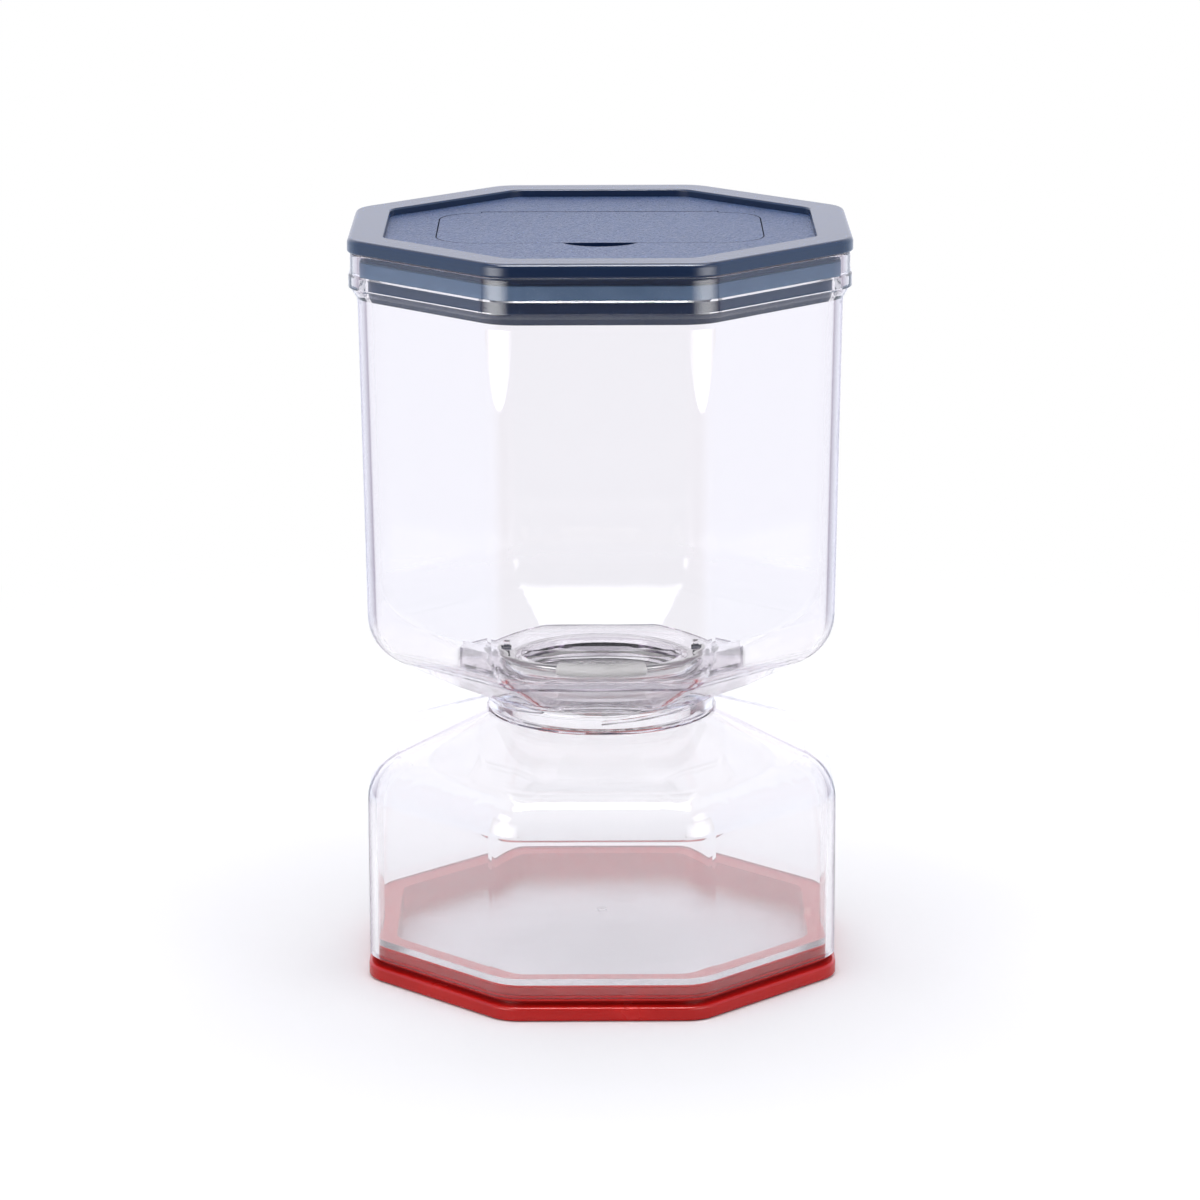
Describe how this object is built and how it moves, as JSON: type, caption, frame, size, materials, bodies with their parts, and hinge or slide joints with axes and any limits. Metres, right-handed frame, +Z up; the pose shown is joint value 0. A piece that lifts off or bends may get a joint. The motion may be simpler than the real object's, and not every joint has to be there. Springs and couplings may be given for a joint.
{
  "type": "pickle keeper",
  "caption": "Clear octagonal hourglass pickle keeper: jar with lift-out strainer over an oil reservoir, navy lid with a hinged cover over a fork tray, red plug-in base ring.",
  "frame": {"origin": "centre of the base ring's underside, on the table", "axes": "+Z up along the upright axis of both chambers, -Y to the front, where the lid's thumb scoop is, +X to the right seen from the front"},
  "size_m": [0.1254, 0.1254, 0.1916],
  "materials": {
    "clear_shell": "clear, polished",
    "base_red": "satin gloss",
    "red_silicone": "satin",
    "lid_navy": "satin rim, fine-grained panel",
    "navy_silicone": "satin",
    "natural_silicone": "translucent",
    "steel_mesh": "bright",
    "steel_wire": "bright"
  },
  "bodies": {
    "base": {"base_ring": "base_red", "base_seal": "red_silicone", "floor_plate": "clear_shell"},
    "reservoir": {"lower_chamber": "clear_shell"},
    "neck": {"neck_seal": "natural_silicone"},
    "jar": {"upper_chamber": "clear_shell"},
    "strainer": {"strainer_frame": "clear_shell", "strainer_mesh": "steel_mesh", "mesh_retainer": "clear_shell"},
    "bail": {"lift_bail": "steel_wire", "bail_grip": "natural_silicone"},
    "lid": {"lid_shell": "lid_navy", "lid_liner": "lid_navy", "lid_seal": "navy_silicone", "cover_hinge_pin": "steel_wire"},
    "cover": {"compartment_cover": "lid_navy"}
  },
  "joints": [
    {"name": "reservoir_lift", "type": "slide", "parent": "base", "child": "reservoir", "axis": [0, 0, 1], "range_m": [0, 0.03]},
    {"name": "neck_rise", "type": "slide", "parent": "reservoir", "child": "neck", "axis": [0, 0, 1], "range_m": [0, 0.00301]},
    {"name": "neck_turn", "type": "hinge", "parent": "neck", "child": "jar", "pos_m": [0, 0, 0.073], "axis": [0, 0, 1], "range_deg": [0, 90]},
    {"name": "strainer_lift", "type": "slide", "parent": "jar", "child": "strainer", "axis": [0, 0, 1], "range_m": [0, 0.06]},
    {"name": "bail_swing", "type": "hinge", "parent": "strainer", "child": "bail", "pos_m": [0, 0, 0.0808], "axis": [-1, 0, 0], "range_deg": [0, 90]},
    {"name": "lid_lift", "type": "slide", "parent": "jar", "child": "lid", "axis": [0, 0, 1], "range_m": [0, 0.03]},
    {"name": "cover_swing", "type": "hinge", "parent": "lid", "child": "cover", "pos_m": [0, 0.0281, 0.1889], "axis": [-1, 0, 0], "range_deg": [0, 95]}
  ],
  "couplings": [
    {"joint": "neck_rise", "follows": "neck_turn", "m_per_rad": 0.0019099}
  ]
}
